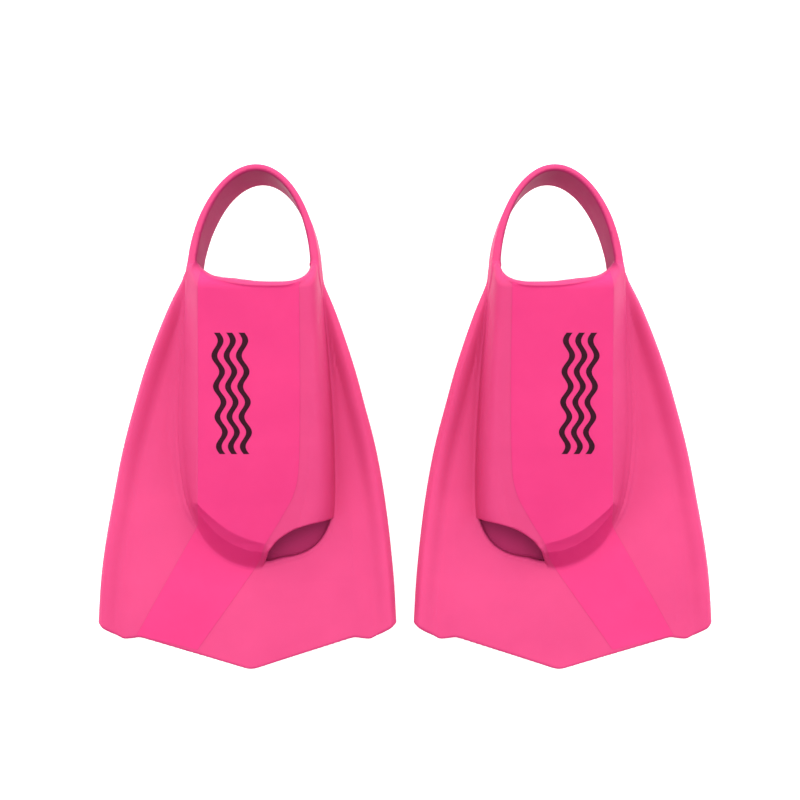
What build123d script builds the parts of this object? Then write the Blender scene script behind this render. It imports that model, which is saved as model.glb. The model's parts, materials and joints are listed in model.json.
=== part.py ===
from build123d import *

import os

# A pair of short swim training fins in moulded silicone, left and right mirror images.
#
# Each fin has a foot pocket with an open heel, a strap that loops round the heel, side wings edged by
# thick rails, and a short blade that bends where it leaves the toes.  A deeper coloured band runs down
# the instep, over the toe slope and slantwise across the blade.  The fins lie side by side, soles down.
#
# Frame: millimetres, +Z up, +Y to the heels, X across, origin on the floor in the middle of the pair.
# Each fin is drawn as the right one, with x = 0 on its blade's middle, +x to the big toe and y = 0 on
# its blade's bending line.  It is then placed at -X, and its mirror image is the left fin.

# ---- pair -------------------------------------------------------------------------------------
FIN_GAP = 11.5              # between the two blades
# ---- blade, measured from its bending line to the tip ------------------------------------------
BLADE_WIDTH = 214.0
BLADE_LENGTH = 63.0         # to the pointed tip
POINT_DEPTH = 24.0          # how far the tip stands out beyond the notches beside the rails
RAIL_END_DEPTH = 1.5        # how far the rails' ends stand out beyond the notches
CORNER_DEPTH = 11.0         # how far the outer corners stay behind the notches
NOTCH_INSET = 29.0          # outer corner to notch, across
RAIL_END_INSET = 18.5       # outer corner to rail's end, across
TIP_SHIFT = 2.8             # tip's offset to the big toe side
CORNER_RADIUS = 12.0
TIP_RADIUS = 12.0
SMALL_RADIUS = 5.0
# ---- foot pocket, measured from the bending line to the heel -----------------------------------
TOE_GAP = 12.0              # bending line to the pocket's toe
POCKET_LENGTH = 206.0       # pocket's toe to the strap's roots
BALL_SHARE = 0.24           # share of that length, toe to the ball of the foot
ARCH_SHARE = 0.58           # and toe to the arch
BALL_REACH = 25.0           # how far behind the ball the little toe side stays wide
LITTLE_TOE = 24.0           # pocket's toe back to its corner at the little toe, along the fin
BIG_TOE = 23.0              # and to its corner at the big toe
BIG_TOE_INSET = 10.0        # ball's width to the big toe's corner, across
TOE_FRONT_INSET = 29.0      # and to where its front turns level
TOE_FRONT = 8.0             # pocket's toe back to that place
BALL_OUTER = 48.5           # blade's middle to the pocket's sides at the ball of the foot
BALL_INNER = 62.5
ARCH_OUTER = 45.0           # and at the arch
ARCH_INNER = 61.0
ROOT_OUTER = 32.0           # and at the strap's roots
ROOT_INNER = 55.5
RIM_DEPTH = 11.0            # the instep rim's hollow
SOLE_REACH = 158.0          # pocket's toe to the sole's rear edge
SOLE_THICKNESS = 4.0
WALL = 3.5
TOE_HEIGHT = 29.0
BALL_HEIGHT = 36.0
RIM_HEIGHT = 73.0
EAVE_BALL = 16.0            # height of the upright sides below the shoulders
EAVE_ROOT = 46.0
BROW = 21.0                 # pocket's toe back to the top of the toe slope
BROW_EDGE = 19.0            # and to its lower end at the big toe side
POCKET_OVERRUN = 30.0       # how far the hollow is carried on behind the strap's roots
# ---- wings and rails ---------------------------------------------------------------------------
WEB_BOTTOM = 3.0
WEB_THICKNESS = 5.5
TIP_THICKNESS = 3.0
RAIL_WIDTH = 8.0
RAIL_HEIGHT = 12.0
RAIL_TIP_BOTTOM = 1.0
RAIL_TIP_HEIGHT = 6.0
RISE = 31.0                 # how far the wings have risen where they meet the strap's roots
BULGE_OUTER = 15.0          # how far the fin's outer edges bow out
BULGE_INNER = 11.0
# ---- band --------------------------------------------------------------------------------------
BAND_RIM_OUTER = 22.5       # blade's middle to the band's edges at the instep rim
BAND_RIM_INNER = 44.0
BAND_BALL_OUTER = 29.0      # at the ball of the foot
BAND_BALL_INNER = 37.5
BAND_TOE_OUTER = 34.0       # and at the toe
BAND_TOE_INNER = 8.0
BAND_DRIFT = 43.0           # how far the band leans to the little toe side, toe to blade tip
BAND_SPREAD_OUTER = 12.0    # how far it widens there on the little toe side
BAND_SPREAD_INNER = 6.0     # and on the other side
BAND_TOE_REACH = 32.0       # pocket's toe back to where the band starts to lean
BAND_TURN = 8.0             # how far it has moved across where it is level with the drain
BAND_TURN_REACH = 12.0      # pocket's toe back to that place
# ---- drain opening over the big toe ------------------------------------------------------------
DRAIN_FRONT = 12.0          # pocket's toe to the opening's pointed end
DRAIN_BACK = 30.0           # and to the middle of its rear edge
DRAIN_INSET = 8.0           # band's edge to the pointed end, across
DRAIN_MIDDLE_INSET = 27.0   # ball's side to the middle of the rear edge, across
DRAIN_FLARE = 8.0           # how far the rear edge runs back where it leaves the side
DRAIN_OVERRUN = 10.0        # how far the cut runs on beyond the side and the toe
# ---- heel strap --------------------------------------------------------------------------------
STRAP_REACH = 69.0          # strap's roots to the back of the heel
STRAP_THICKNESS = 4.5
STRAP_HEIGHT = 33.0
STRAP_ROOT_HEIGHT = 24.0
STRAP_LEVEL = 39.5          # height of the strap's middle
STRAP_TUCK = 3.3            # how far the heel's lower edge is tucked in
STRAP_CURVE = [(1.0, 0.0), (0.87, 0.4), (0.61, 0.76)]   # shares of half its width and of its reach
# ---- turning ends ------------------------------------------------------------------------------
JOINT_CLEARANCE = 0.3
BLADE_KNUCKLE = 7.4         # radius of the rounded end that the blade bends on
STRAP_KNUCKLE = 16.0        # and the strap
# ---- lip and print -----------------------------------------------------------------------------
LIP_WIDTH = 5.0
LIP_HEIGHT = 1.2
PRINT_THICKNESS = 0.25
PRINT_LENGTH = 80.0
PRINT_LINE = 123.0          # pocket's toe to the print's middle
PRINT_SHIFT = -1.6
WAVE_COUNT = 3
WAVE_STEP = 8.0
WAVE_STROKE = 4.0
WAVE_SWING = 2.3
WAVE_PERIOD = 20.0

HALF_WIDTH = BLADE_WIDTH / 2
NOTCH_LENGTH = BLADE_LENGTH - POINT_DEPTH
TOE_LINE = TOE_GAP
ROOT_LINE = TOE_LINE + POCKET_LENGTH
BALL_LINE = TOE_LINE + BALL_SHARE * POCKET_LENGTH
ARCH_LINE = TOE_LINE + ARCH_SHARE * POCKET_LENGTH
HEEL_LINE = ROOT_LINE + STRAP_REACH
MIDDLE_LINE = (HEEL_LINE - BLADE_LENGTH) / 2    # middle of the fin's length
FIN_OFFSET = (BLADE_WIDTH + FIN_GAP) / 2
BLADE_AXIS_HEIGHT = RAIL_HEIGHT / 2
WEB_TOP = WEB_BOTTOM + WEB_THICKNESS
POCKET_MIDDLE = (ROOT_INNER - ROOT_OUTER) / 2
STRAP_HALF = (ROOT_INNER + ROOT_OUTER) / 2
FAR = 500.0                                     # beyond the fin in any direction


def polygon(*points):
    return make_face(Polyline(*points, close=True))


def upright(face, low=-1.0, high=FAR):
    """A face in plan, drawn out upwards."""
    return extrude(Pos(0, 0, low) * face, amount=high - low)


def across(face):
    """A face in side view, its x along the fin and its y upwards, drawn out across the whole fin."""
    return extrude(Plane.YZ * face, amount=FAR / 2, both=True)


def bar_across(y, z, radius):
    return Pos(0, y, z) * Rot(0, 90, 0) * Cylinder(radius, 2 * FAR)


def ordered(shape):
    """The separate solids of a shape, from the little toe side to the big toe side."""
    return sorted(shape.solids(), key=lambda solid: solid.center().X)


# ---- outlines in plan --------------------------------------------------------------------------
def side_edge(side, inset=0.0):
    """The fin's outer edge, blade corner to strap root; side is -1 for the little toe side."""
    front = side * HALF_WIDTH
    rear = -ROOT_OUTER - STRAP_THICKNESS if side < 0 else ROOT_INNER + STRAP_THICKNESS / 2
    bulge = BULGE_OUTER if side < 0 else BULGE_INNER
    start = -NOTCH_LENGTH + CORNER_DEPTH
    middle = ((front + rear) / 2 + side * bulge, (ROOT_LINE + start) / 2)
    shift = Pos(-side * inset, 0)
    return shift * ThreePointArc((front, start), middle, (rear, ROOT_LINE))


def fin_outline():
    """Blade, wings and rails together, with the rounded corners of the tip."""
    outer, inner = side_edge(-1), side_edge(1)
    rail_end = -NOTCH_LENGTH - RAIL_END_DEPTH
    tip = Polyline(
        outer @ 0,
        (-HALF_WIDTH + RAIL_END_INSET, rail_end),
        (-HALF_WIDTH + NOTCH_INSET, -NOTCH_LENGTH),
        (TIP_SHIFT, -BLADE_LENGTH),
        (HALF_WIDTH - NOTCH_INSET, -NOTCH_LENGTH),
        (HALF_WIDTH - RAIL_END_INSET, rail_end),
        inner @ 0,
    )
    face = make_face(outer + tip + inner + Line(inner @ 1, outer @ 1))
    corners = [v for v in face.vertices() if v.Y < 0]
    outermost = [v for v in corners if abs(v.X) > HALF_WIDTH - 1]
    point = [v for v in corners if v.Y < -BLADE_LENGTH + 1]
    others = [v for v in corners if v not in outermost + point]
    for group, radius in ((outermost, CORNER_RADIUS), (point, TIP_RADIUS), (others, SMALL_RADIUS)):
        places = [v.center() for v in group]
        found = [v for v in face.vertices() if any((v.center() - p).length < 0.01 for p in places)]
        face = fillet(found, radius)
    return face


def rail_strip(side):
    """The strip along one outer edge that its rail covers."""
    edge, inside = side_edge(side), side_edge(side, RAIL_WIDTH)
    front = Polyline(edge @ 0, (side * HALF_WIDTH, -FAR), (side * (HALF_WIDTH - RAIL_WIDTH), -FAR), inside @ 0)
    return make_face(edge + inside + front + Line(edge @ 1, inside @ 1))


def pocket_outline(grow=0.0, reach=0.0):
    """The foot pocket in plan, grown all round and carried on straight behind the strap's roots."""
    back = ROOT_LINE + reach
    outer = Spline(
        (-ROOT_OUTER - grow, ROOT_LINE),
        (-ARCH_OUTER - grow, ARCH_LINE),
        (-BALL_OUTER - grow, BALL_LINE + BALL_REACH),
        (-BALL_OUTER + 1 - grow, BALL_LINE),
        (-BAND_TOE_OUTER - 0.8 * grow, TOE_LINE + LITTLE_TOE - 0.6 * grow),
        (-BAND_TOE_INNER - 4, TOE_LINE + 4 - grow),
        (BAND_TOE_INNER, TOE_LINE - grow),
    )
    inner = Spline(
        (ROOT_INNER + grow, ROOT_LINE),
        (ARCH_INNER + grow, ARCH_LINE),
        (BALL_INNER + grow, BALL_LINE),
        (BALL_INNER - BIG_TOE_INSET + 0.7 * grow, TOE_LINE + BIG_TOE - 0.7 * grow),
        (BALL_INNER - TOE_FRONT_INSET, TOE_LINE + TOE_FRONT - grow),
        (BAND_TOE_INNER, TOE_LINE - grow),
        tangents=(Vector(0.06, -1), -(outer % 1)),
    )
    rear = Polyline(outer @ 0, (-ROOT_OUTER - grow, back + 0.01), (ROOT_INNER + grow, back + 0.01), inner @ 0)
    return make_face(outer + inner + rear)


def band_outline():
    """The coloured band in plan, over the foot pocket and slantwise over the blade."""
    outer = Spline(
        (-BAND_RIM_OUTER, ROOT_LINE),
        (-BAND_BALL_OUTER, BALL_LINE),
        (-BAND_TOE_OUTER, TOE_LINE + BAND_TOE_REACH),
    )
    inner = Spline(
        (BAND_RIM_INNER, ROOT_LINE),
        (BAND_RIM_INNER - 0.5, ARCH_LINE),
        (BAND_BALL_INNER, BALL_LINE + 10),
        (BAND_TOE_INNER + 9, TOE_LINE + BROW - 1),
        (BAND_TOE_INNER, TOE_LINE),
    )
    run = NOTCH_LENGTH + POINT_DEPTH + TOE_LINE
    slant = Polyline(
        outer @ 1,
        (-BAND_TOE_OUTER - BAND_TURN, TOE_LINE + BAND_TURN_REACH),
        (-BAND_TOE_OUTER - BAND_DRIFT - BAND_SPREAD_OUTER, TOE_LINE - run),
        (BAND_TOE_INNER - BAND_DRIFT - BAND_SPREAD_INNER, TOE_LINE - run),
        inner @ 1,
    )
    return make_face(outer + inner + slant + Line(outer @ 0, inner @ 0))


def toe_slope_outline():
    """Everything ahead of the line where the instep turns down over the toes."""
    return polygon(
        (-FAR, BALL_LINE + 4),
        (-BAND_BALL_OUTER, BALL_LINE),
        (-BAND_BALL_OUTER + 8, BALL_LINE - 10),
        (BAND_TOE_INNER - 4, TOE_LINE + BROW + 3),
        (BAND_TOE_INNER + 10, TOE_LINE + BROW_EDGE),
        (FAR, TOE_LINE + BROW_EDGE),
        (FAR, -FAR),
        (-FAR, -FAR),
    )


def behind_rim(ahead=0.0):
    """Everything behind the instep rim's hollow curve."""
    rim = ThreePointArc(
        (POCKET_MIDDLE - STRAP_HALF, ROOT_LINE - ahead),
        (POCKET_MIDDLE, ROOT_LINE - RIM_DEPTH - ahead),
        (POCKET_MIDDLE + STRAP_HALF, ROOT_LINE - ahead),
    )
    front = ROOT_LINE - ahead
    around = Polyline(rim @ 0, (-FAR, front), (-FAR, FAR), (FAR, FAR), (FAR, front), rim @ 1)
    return make_face(rim + around)


# ---- solids that several pieces are cut from ---------------------------------------------------
def rise(y):
    """How far the wings and rails have risen at y."""
    share = max(0.0, (y - BALL_LINE) / (ROOT_LINE - BALL_LINE))
    return RISE * share**1.5


def rising_slab(tip_low, tip_high, low, high):
    """A slab across the whole fin: level over the blade, then rising from the ball to the strap's roots."""
    count = 4
    stations = [BALL_LINE + (ROOT_LINE - BALL_LINE) * i / count for i in range(count + 1)]
    under = Spline(*[(y, low + rise(y)) for y in stations], tangents=(Vector(1, 0), Vector(1, 0.35)))
    over = Pos(0, high - low) * under
    front = Polyline(
        under @ 0, (0, low), (-BLADE_LENGTH - 1, tip_low), (-BLADE_LENGTH - 1, tip_high), (0, high), over @ 0
    )
    return across(make_face(under + over + front + Line(under @ 1, over @ 1)))


def roof_section(y, outer_side, outer, inner, inner_side, eave, ridge, grow):
    return Plane.XZ.offset(-y) * polygon(
        (outer_side - grow, 0),
        (outer_side - grow, eave + grow / 2),
        (outer, ridge + grow),
        (inner, ridge + grow),
        (inner_side + grow, eave + grow / 2),
        (inner_side + grow, 0),
    )


def pocket_block(grow=0.0, reach=0.0):
    """The foot pocket as a full block under its sloping roof, grown all round."""
    back = ROOT_LINE + reach + 1
    slope = (RIM_HEIGHT - BALL_HEIGHT) / (ROOT_LINE - RIM_DEPTH - BALL_LINE)
    ridge = BALL_HEIGHT + slope * (back - BALL_LINE)
    brow = TOE_LINE + BROW
    tongue = BAND_TOE_INNER + 2
    sections = [
        roof_section(TOE_LINE - 2, -16, tongue - 4, tongue, 30, WEB_TOP, WEB_TOP + 0.5, grow),
        roof_section(
            brow, -BAND_TOE_OUTER, tongue - 2, tongue + 8, BALL_INNER - 9, WEB_TOP + 1, TOE_HEIGHT, grow
        ),
        roof_section(
            BALL_LINE, -BALL_OUTER, -BAND_BALL_OUTER, BAND_BALL_INNER, BALL_INNER, EAVE_BALL, BALL_HEIGHT, grow
        ),
        roof_section(back, -ROOT_OUTER, -BAND_RIM_OUTER, BAND_RIM_INNER, ROOT_INNER, EAVE_ROOT, ridge, grow),
    ]
    roof = loft(sections, ruled=True)
    sides = upright(pocket_outline(grow, reach), 0)
    return sides & roof


def blade_side():
    """Everything on the blade's side of the bending line, with the knuckle that it bends on."""
    front = Pos(0, -FAR / 2) * Box(2 * FAR, FAR, FAR)
    return front + bar_across(0, BLADE_AXIS_HEIGHT, BLADE_KNUCKLE)


def pocket_side():
    """Everything on the foot pocket's side, with the hollow that the knuckle turns in."""
    back = Pos(0, FAR / 2) * Box(2 * FAR, FAR, FAR)
    return back - bar_across(0, BLADE_AXIS_HEIGHT, BLADE_KNUCKLE + JOINT_CLEARANCE)


def build_fin():
    """Every piece of the right fin, by name."""
    outline = upright(fin_outline())
    rails = {"outer": upright(rail_strip(-1)), "inner": upright(rail_strip(1))}
    web = rising_slab(WEB_BOTTOM, WEB_BOTTOM + TIP_THICKNESS, WEB_BOTTOM, WEB_TOP) & outline
    rail = rising_slab(RAIL_TIP_BOTTOM, RAIL_TIP_HEIGHT, 0, RAIL_HEIGHT) & outline
    flat = web - rails["outer"] - rails["inner"]
    band = upright(band_outline())
    block = pocket_block()
    socket = bar_across(ROOT_LINE, STRAP_LEVEL, STRAP_KNUCKLE + JOINT_CLEARANCE)
    pieces = {}

    front = blade_side()
    pieces["blade_band"] = flat & front & band
    pieces["blade_outer_web"], pieces["blade_inner_web"] = ordered((flat & front) - band)
    for name, strip in rails.items():
        pieces[f"blade_{name}_rail"] = rail & strip & front

    rest = pocket_side() - block - socket
    for name, strip in rails.items():
        pieces[f"{name}_rail"] = rail & strip & rest
    plate = flat & rest
    pieces["toe_band"] = plate & band
    sides = ordered(plate - band)
    pieces["outer_wing"] = sides[0]
    ahead_of_ball = Pos(0, BALL_LINE - FAR / 2) * Box(FAR, FAR, FAR)
    pieces["toe_plate"] = sides[-1] & ahead_of_ball
    pieces["inner_wing"] = sides[-1] - ahead_of_ball

    cavity = pocket_block(-WALL, POCKET_OVERRUN) & Pos(0, 0, SOLE_THICKNESS + FAR / 2) * Box(FAR, 2 * FAR, FAR)
    shell = (block - cavity) - under_edge() - upright(behind_rim())
    sole_layer = Pos(0, 0, SOLE_THICKNESS / 2) * Box(FAR, 2 * FAR, SOLE_THICKNESS)
    pieces["sole"] = shell & sole_layer
    walls = shell - sole_layer
    upper = walls - upright(drain_outline(), WEB_TOP) - socket
    slope = upright(toe_slope_outline())
    pieces["instep_panel"] = (upper & band) - slope
    pieces["toe_slope"] = upper & band & slope
    sides = ordered(upper - band)
    pieces["outer_side"], pieces["inner_side"] = sides[0], sides[-1]

    rim_band = upright(behind_rim(LIP_WIDTH)) - upright(behind_rim())
    above_socket = Pos(0, 0, STRAP_LEVEL + STRAP_KNUCKLE + 1 + FAR / 2) * Box(FAR, 2 * FAR, FAR)
    pieces["instep_lip"] = (pocket_block(LIP_HEIGHT) - block) & rim_band & above_socket
    pieces["print"] = (pocket_block(PRINT_THICKNESS) - block) & upright(waves())

    pieces["heel_strap"] = heel_strap()
    return pieces


def under_edge():
    """What is left open below and behind the foot pocket's rear lower edge."""
    root_low = STRAP_LEVEL - STRAP_KNUCKLE
    sole_end = TOE_LINE + SOLE_REACH
    return across(
        polygon(
            (sole_end, -1),
            (sole_end, SOLE_THICKNESS),
            (ROOT_LINE, root_low),
            (FAR, root_low),
            (FAR, -1),
        )
    )


def drain_outline():
    """The drain opening in plan, pointed towards the toe's middle and open over the big toe's side."""
    point = (BAND_TOE_INNER + DRAIN_INSET, TOE_LINE + DRAIN_FRONT)
    back = (BALL_INNER - DRAIN_MIDDLE_INSET, TOE_LINE + DRAIN_BACK)
    side = (BALL_INNER + DRAIN_OVERRUN, TOE_LINE + DRAIN_BACK + DRAIN_FLARE)
    front = TOE_LINE - DRAIN_OVERRUN + 1
    rear = ThreePointArc(point, back, side)
    return make_face(rear + Polyline(side, (side[0], front), (point[0], front), point))


def waves():
    """Plain wavy stripes side by side, running along the instep."""
    count = 2 * round(PRINT_LENGTH / WAVE_PERIOD)
    start = TOE_LINE + PRINT_LINE - PRINT_LENGTH / 2
    crests = [
        (WAVE_SWING * (-1) ** i, start + (i + 0.5) * PRINT_LENGTH / count)
        for i in range(count)
    ]
    line = Spline((0, start), *crests, (0, start + PRINT_LENGTH))
    left, right = Pos(-WAVE_STROKE / 2, 0) * line, Pos(WAVE_STROKE / 2, 0) * line
    stripe = make_face(left + right + Line(left @ 0, right @ 0) + Line(left @ 1, right @ 1))
    first = PRINT_SHIFT - WAVE_STEP * (WAVE_COUNT - 1) / 2
    return Sketch() + [Pos(first + WAVE_STEP * i, 0) * stripe for i in range(WAVE_COUNT)]


def strap_outline(inset, reach):
    """The strap's loop in plan, closed across the roots."""
    half = STRAP_HALF - inset
    left = [(POCKET_MIDDLE - half * w, ROOT_LINE + reach * r) for w, r in STRAP_CURVE]
    right = [(POCKET_MIDDLE + half * w, ROOT_LINE + reach * r) for w, r in reversed(STRAP_CURVE)]
    loop = Spline(*left, (POCKET_MIDDLE, ROOT_LINE + reach), *right, tangents=(Vector(0, 1), Vector(0, -1)))
    return make_face(loop + Line(loop @ 0, loop @ 1))


def heel_strap():
    """The loop round the heel, with the rounded ends that it folds on."""
    low, high = STRAP_LEVEL - STRAP_HEIGHT / 2, STRAP_LEVEL + STRAP_HEIGHT / 2
    shapes = []
    for inset in (0.0, STRAP_THICKNESS):
        lower = Pos(0, 0, low - 1) * strap_outline(inset, STRAP_REACH - STRAP_TUCK - inset)
        upper = Pos(0, 0, high + 1) * strap_outline(inset, STRAP_REACH - inset)
        shapes.append(loft([lower, upper], ruled=True))
    half_root, half_heel = STRAP_ROOT_HEIGHT / 2, STRAP_HEIGHT / 2
    widest = ROOT_LINE + 0.5 * STRAP_REACH
    side_view = across(
        polygon(
            (ROOT_LINE, STRAP_LEVEL - half_root),
            (widest, STRAP_LEVEL - half_heel),
            (FAR, STRAP_LEVEL - half_heel),
            (FAR, STRAP_LEVEL + half_heel),
            (widest, STRAP_LEVEL + half_heel),
            (ROOT_LINE, STRAP_LEVEL + half_root),
        )
    )
    loop = (shapes[0] - shapes[1]) & side_view
    sides = pocket_block(0, STRAP_THICKNESS) - pocket_block(-WALL, POCKET_OVERRUN)
    ends = sides & bar_across(ROOT_LINE, STRAP_LEVEL, STRAP_KNUCKLE)
    return loop + ends


def place(shape, side):
    """A piece of the fin, drawn as the right one, set down as the right or the left fin of the pair."""
    if side == "right":
        return Pos(-FIN_OFFSET, -MIDDLE_LINE) * shape
    return Pos(FIN_OFFSET, -MIDDLE_LINE) * mirror(shape, about=Plane.YZ)


if __name__ == "__main__":
    os.makedirs("parts", exist_ok=True)
    for name, shape in build_fin().items():
        for side in ("right", "left"):
            export_step(place(shape, side), f"parts/{side}_{name}.step")
    print("blade axes at x", FIN_OFFSET, "y", -MIDDLE_LINE, "z", BLADE_AXIS_HEIGHT)
    print("strap axes at y", ROOT_LINE - MIDDLE_LINE, "z", STRAP_LEVEL)
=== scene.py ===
import json

import bmesh
import bpy
import numpy as np
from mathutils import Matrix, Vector


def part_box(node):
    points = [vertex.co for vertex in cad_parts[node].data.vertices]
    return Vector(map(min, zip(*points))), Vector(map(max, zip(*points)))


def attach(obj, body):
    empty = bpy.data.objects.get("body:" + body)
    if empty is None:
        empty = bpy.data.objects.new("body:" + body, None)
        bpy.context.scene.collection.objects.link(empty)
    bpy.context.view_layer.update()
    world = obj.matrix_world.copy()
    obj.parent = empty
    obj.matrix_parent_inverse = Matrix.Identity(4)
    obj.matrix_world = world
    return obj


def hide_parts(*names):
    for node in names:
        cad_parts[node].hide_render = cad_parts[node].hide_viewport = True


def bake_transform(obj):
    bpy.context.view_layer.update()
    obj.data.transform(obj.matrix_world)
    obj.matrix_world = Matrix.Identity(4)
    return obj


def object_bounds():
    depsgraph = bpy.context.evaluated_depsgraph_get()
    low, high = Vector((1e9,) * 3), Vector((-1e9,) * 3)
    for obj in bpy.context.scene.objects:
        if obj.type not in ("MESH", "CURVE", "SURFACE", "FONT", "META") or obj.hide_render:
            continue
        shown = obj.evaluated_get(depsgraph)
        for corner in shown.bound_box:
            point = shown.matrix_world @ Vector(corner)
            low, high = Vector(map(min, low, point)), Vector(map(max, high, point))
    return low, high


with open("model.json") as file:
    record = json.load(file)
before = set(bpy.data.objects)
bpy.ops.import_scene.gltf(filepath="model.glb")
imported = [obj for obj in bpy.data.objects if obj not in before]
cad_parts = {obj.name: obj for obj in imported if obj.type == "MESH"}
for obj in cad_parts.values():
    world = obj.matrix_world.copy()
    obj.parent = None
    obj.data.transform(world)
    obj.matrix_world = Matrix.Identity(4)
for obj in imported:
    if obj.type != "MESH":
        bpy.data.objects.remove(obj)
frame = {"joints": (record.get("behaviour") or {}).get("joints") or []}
CAD_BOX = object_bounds()

bl_info = {
    "name": "Swim Fins",
    "version": (1, 0, 0),
    "blender": (4, 5, 0),
    "location": "View3D > Sidebar > Swim Fins",
    "description": "Builds a pair of moulded silicone training fins around their CAD frame",
    "category": "Object",
}

# Each fin is shaped in millimetres as the right fin: x across from the blade's middle, + to the big
# toe; y along from the blade's bending line, + to the heel; z up from the floor.
JOINTS = {joint["name"]: joint for joint in frame["joints"]}
BEND = Vector(JOINTS["right_blade_flex"]["pos_m"]) * 1000
ROOT = Vector(JOINTS["right_strap_fold"]["pos_m"]) * 1000 - Vector((BEND.x, BEND.y, 0))
SIDES = ("right", "left")
TIP = BEND.y - CAD_BOX[0][1] * 1000         # bending line to the pointed tip
HALF_WIDTH = BEND.x - CAD_BOX[0][0] * 1000
HEEL = CAD_BOX[1][1] * 1000 - BEND.y
STRAP_CUT = ROOT.y - 15                     # where the strap's own piece starts

# Outlines in plan, each with only the points that its shape needs.
OUTER_EDGE = [(-28, -HALF_WIDTH), (10, -103.8), (47, -98.2), (91, -89.2), (131, -77), (163, -65),
              (196, -49.3), (221, -34)]
INNER_EDGE = [(-28, HALF_WIDTH), (7, 104.5), (52, 99.6), (94, 92.6), (131, 83.4), (157, 76.4), (189, 65.9),
              (213, 56.4), (222, 54.5)]
POCKET_OUTER = [(ROOT.y + 40, -26), (ROOT.y, -32), (190, -36.8), (160, -41.8), (131, -45.4), (105, -46.6),
                (78, -45.2), (60, -41.8), (44, -36.2), (29, -27.6), (18, -14.3), (12.8, -1), (11.6, 7)]
POCKET_INNER = [(13.2, 16), (16.4, 27), (18.8, 37), (22.8, 46), (29, 53.6), (38, 59.4), (52, 62.8),
                (75, 63.4), (100, 63), (131, 61.8), (160, 60), (190, 57.5), (ROOT.y, 55.5),
                (ROOT.y + 40, 52.5)]
PANEL_OUTER = [(ROOT.y + 40, -17), (ROOT.y + 9, -19.5), (131, -24.7), (60.7, -28.9)]
PANEL_FRONT = [(60.7, -28.9), (53.9, -22.7), (42.5, -9.1), (35.7, 4.4), (32, 16.6)]
PANEL_INNER = [(32, 16.6), (52, 29.2), (69, 37.9), (91, 41.6), (150, 43.8), (ROOT.y + 9, 45),
               (ROOT.y + 40, 45.5)]
BAND_OUTER = [(60.7, -28.9), (45.4, -33.2), (38.5, -36.6), (24.7, -44.4), (-36.5, -78.7)]
BAND_INNER = [(32, 16.6), (22, 12.4), (11.9, 6.6), (-36.5, -27.7), (-47, -35.1)]
PANEL_REAR = [(216, -20.2), (210, -11.6), (205.8, 5), (204.6, 20.6), (205, 35.8), (207.8, 44.4)]
ANKLE = [(226, -27.5), (218, -21.6), (211.6, -11), (207.6, 6), (206.3, 20.6), (206.6, 35.4), (209.4, 44.5),
         (215.3, 49.8), (226, 52)]
DRAIN_REAR = [(24.4, 17.4), (28.8, 20.4), (34.4, 25.2), (40.6, 34.5), (44.4, 44.5), (46.3, 53), (46.9, 59.6)]
DRAIN_FRONT = [(46.9, 59.6), (39.8, 56.9), (30.6, 51.2), (24.7, 44), (21.4, 36), (20.2, 27.2), (21.6, 20.4),
               (24.4, 17.4)]
FOLD_OUTER = [(-40, -81), (28, -76), (66, -69), (100, -60), (140, -50), (200, -38)]
FOLD_INNER = [(-40, 81), (28, 75.4), (66, 70.5), (100, 67), (140, 65), (200, 59)]
STRAP_FULLNESS = 1.68                       # 2 would make the heel strap's loop an ellipse
STRAP_LEAN = 2.6                            # the loop's heel leans this far to the big toe's side

BALL = 61.0                                 # y of the ball of the foot, where the wings start to rise
RISE_CURVE = 1.5                            # 1 would make the wings rise in a straight line
RAIL_OUTSIDE = (-0.5, 4.5)                  # the rail's outer flank, from the fin's edge inwards
RAIL_INSIDE = (5.5, 17)                     # and its inner flank, down to the wing
RAIL_KEEL = (5, 12)                         # where the rail's underside ends and the wing's begins
RAIL_LOSS = 0.55                            # share of the rail's height that is gone at the tip
FOLD_RUN = 12                               # the channel ends this far from the fin's edge
CHANNEL_DEPTH = 1.4                         # how far the wing sinks between the fold and the rail
CHANNEL_CURVE = 1.3
ROOF_CROWN = 1.6                            # how far the instep's sides lie below its middle line
ROOF_HALF_WIDTH = 34
SIDE_WALL = 11                              # height of the upright side wall at the strap's roots
OUTER_ROUNDNESS = 1.12                      # 1 would make the pocket's side a flat facet
INNER_ROUNDNESS = 5.5                       # how much rounder it is on the big toe's side
EAVE = (0.36, 0.24)                         # how far out the toe slope breaks, and its fall up to there
SHOULDER = 5                                # the rim's shoulder starts this far behind the strap's roots
SHOULDER_SLOPE = 1.05
SHOULDER_SCALE = 0.69                       # makes the shoulder's height a distance
POCKET_END = 4                              # the foot pocket ends this far behind the strap's roots
HEEL_CUT = 170                              # y where the pocket's underside starts to rise
ANKLE_FALL = 0.35                           # how much wider the ankle opening is for each step down
ANKLE_SCALE = 0.94
RIM_DROP = 16                               # how much lower the rim is at its two ends
STRAP_END = 20                              # the strap runs this far into the pocket's wall
ROOT_SWELL = 1.3                            # how much thicker the strap is at its roots


# ---- settings ------------------------------------------------------------------------------------
def length(name, description, default):
    """A size in millimetres."""
    return bpy.props.FloatProperty(name=name, description=description, default=default, min=0,
                                   subtype="DISTANCE")


def colour(name, description, default):
    return bpy.props.FloatVectorProperty(name=name, description=description, default=default, size=3,
                                         min=0, max=1, subtype="COLOR")


def share(name, description, default):
    return bpy.props.FloatProperty(name=name, description=description, default=default, min=0, max=1,
                                   subtype="FACTOR")


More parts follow.
